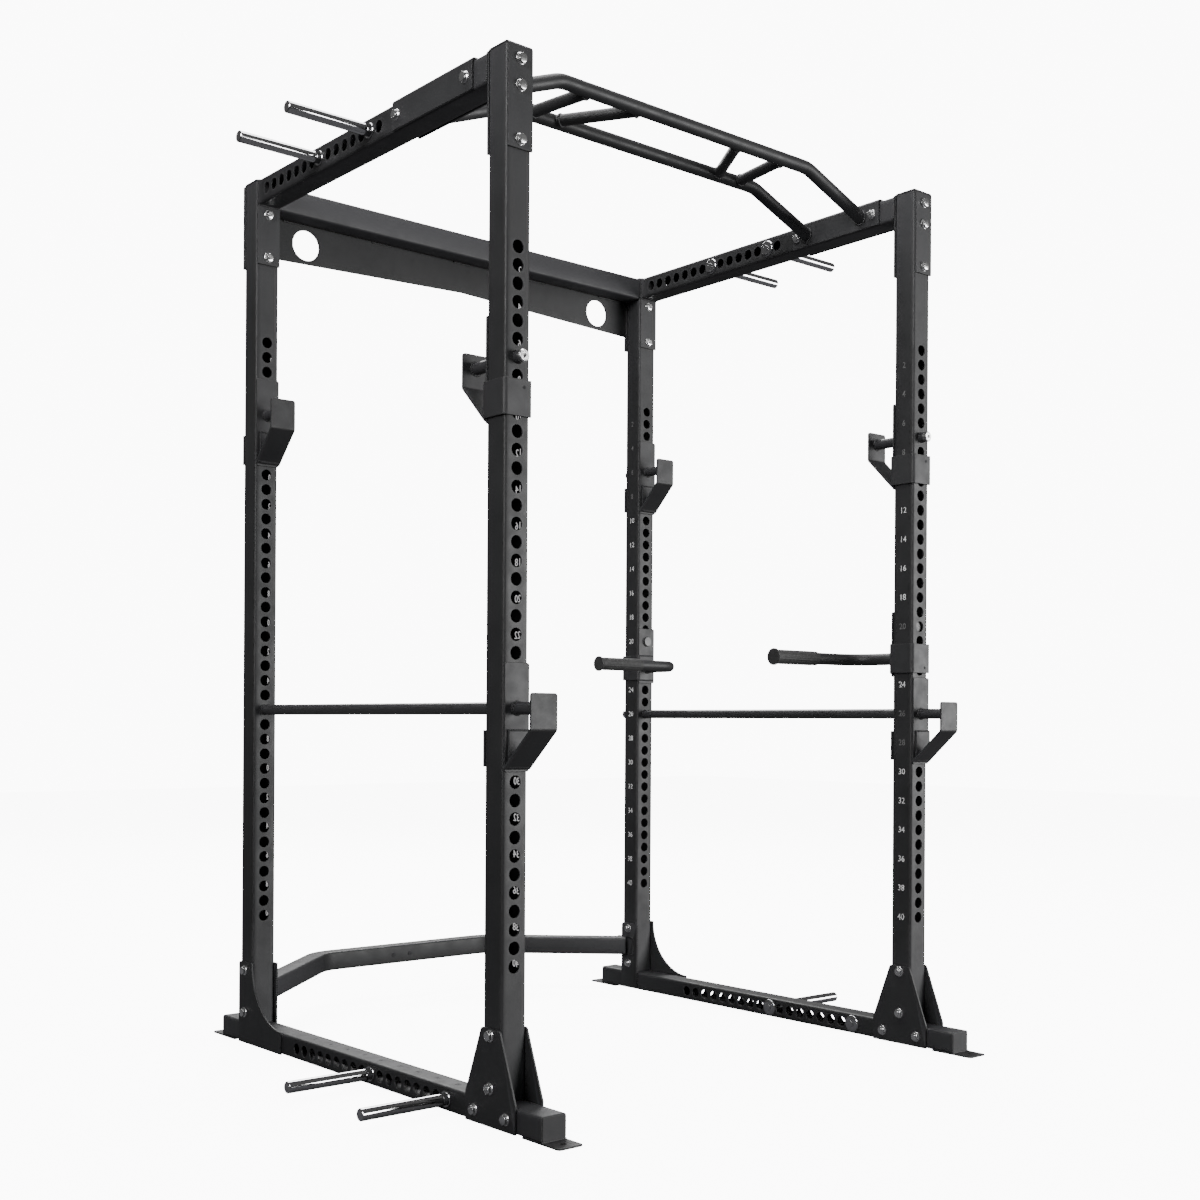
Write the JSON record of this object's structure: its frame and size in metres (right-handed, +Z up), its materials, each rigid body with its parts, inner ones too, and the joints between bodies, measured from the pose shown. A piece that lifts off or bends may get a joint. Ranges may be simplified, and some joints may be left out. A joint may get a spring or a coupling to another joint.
{
  "type": "power cage",
  "caption": "Steel power cage with perforated uprights, a bent pull-up bar with angled grips, pinned hooks, safety bars and dip handles, and plate storage pegs.",
  "frame": {"origin": "on the floor, under the middle of the whole object", "axes": "+X to the right of a person who faces the cage from its front, +Y from the front uprights to the rear ones, +Z up"},
  "size_m": [1.722, 1.55, 2.1758],
  "materials": {
    "powder_coat": "satin",
    "zinc": "polished",
    "rubber": "matte"
  },
  "bodies": {
    "frame": {"base_bolt_left_front": "zinc", "base_bolt_left_rear": "zinc", "base_bolt_right_front": "zinc", "base_bolt_right_rear": "zinc", "base_left": "powder_coat", "base_right": "powder_coat", "bracket_bolt_front_left_lower": "zinc", "bracket_bolt_front_left_upper": "zinc", "bracket_bolt_front_right_lower": "zinc", "bracket_bolt_front_right_upper": "zinc", "bracket_bolt_rear_left_lower": "zinc", "bracket_bolt_rear_left_upper": "zinc", "bracket_bolt_rear_right_lower": "zinc", "bracket_bolt_rear_right_upper": "zinc", "gusset_bolt_front_left_lower": "zinc", "gusset_bolt_front_left_upper": "zinc", "gusset_bolt_front_right_lower": "zinc", "gusset_bolt_front_right_upper": "zinc", "gusset_bolt_rear_left_lower": "zinc", "gusset_bolt_rear_left_upper": "zinc", "gusset_bolt_rear_right_lower": "zinc", "gusset_bolt_rear_right_upper": "zinc", "gusset_front_left_inner": "powder_coat", "gusset_front_left_outer": "powder_coat", "gusset_front_right_inner": "powder_coat", "gusset_front_right_outer": "powder_coat", "gusset_rear_left": "powder_coat", "gusset_rear_right": "powder_coat", "peg_base_left_front": "zinc", "peg_base_left_rear": "zinc", "peg_base_right_front": "zinc", "peg_base_right_rear": "zinc", "peg_top_left_front": "zinc", "peg_top_left_rear": "zinc", "peg_top_right_front": "zinc", "peg_top_right_rear": "zinc", "pull_up_bar": "powder_coat", "rear_bottom_crossmember": "powder_coat", "rear_top_crossmember": "powder_coat", "saddle_bolt_left_front": "zinc", "saddle_bolt_left_rear": "zinc", "saddle_bolt_right_front": "zinc", "saddle_bolt_right_rear": "zinc", "top_beam_left": "powder_coat", "top_beam_right": "powder_coat", "upright_front_left": "powder_coat", "upright_front_right": "powder_coat", "upright_rear_left": "powder_coat", "upright_rear_right": "powder_coat"},
    "j_hook_front_left": {"j_hook_front_left": "powder_coat"},
    "j_hook_front_right": {"j_hook_front_right": "powder_coat"},
    "j_hook_rear_left": {"j_hook_rear_left": "powder_coat"},
    "j_hook_rear_right": {"j_hook_rear_right": "powder_coat"},
    "safety_bar_left": {"safety_bar_left": "powder_coat"},
    "safety_bar_right": {"safety_bar_right": "powder_coat"},
    "dip_handle_front": {"dip_handle_front": "powder_coat", "dip_grip_front": "rubber"},
    "dip_handle_rear": {"dip_handle_rear": "powder_coat", "dip_grip_rear": "rubber"}
  },
  "joints": [
    {"name": "j_hook_front_left_roll", "type": "hinge", "parent": "frame", "child": "j_hook_front_left", "pos_m": [-0.627, -0.535, 1.504], "axis": [0, 1, 0], "range_deg": [0, 90]},
    {"name": "j_hook_rear_left_roll", "type": "hinge", "parent": "frame", "child": "j_hook_rear_left", "pos_m": [-0.627, 0.42, 1.54], "axis": [0, -1, 0], "range_deg": [0, 90]},
    {"name": "safety_bar_left_roll", "type": "hinge", "parent": "frame", "child": "safety_bar_left", "pos_m": [-0.627, -0.595, 0.82], "axis": [0, -1, 0], "range_deg": [0, 90]},
    {"name": "j_hook_front_right_roll", "type": "hinge", "parent": "frame", "child": "j_hook_front_right", "pos_m": [0.627, -0.535, 1.504], "axis": [0, 1, 0], "range_deg": [0, 90]},
    {"name": "j_hook_rear_right_roll", "type": "hinge", "parent": "frame", "child": "j_hook_rear_right", "pos_m": [0.627, 0.42, 1.54], "axis": [0, -1, 0], "range_deg": [0, 90]},
    {"name": "safety_bar_right_roll", "type": "hinge", "parent": "frame", "child": "safety_bar_right", "pos_m": [0.627, -0.595, 0.82], "axis": [0, -1, 0], "range_deg": [0, 90]},
    {"name": "dip_handle_front_roll", "type": "hinge", "parent": "frame", "child": "dip_handle_front", "pos_m": [0.627, -0.535, 1.036], "axis": [0, 1, 0], "range_deg": [0, 90]},
    {"name": "dip_handle_rear_roll", "type": "hinge", "parent": "frame", "child": "dip_handle_rear", "pos_m": [0.627, 0.42, 1.036], "axis": [0, 1, 0], "range_deg": [0, 90]}
  ]
}
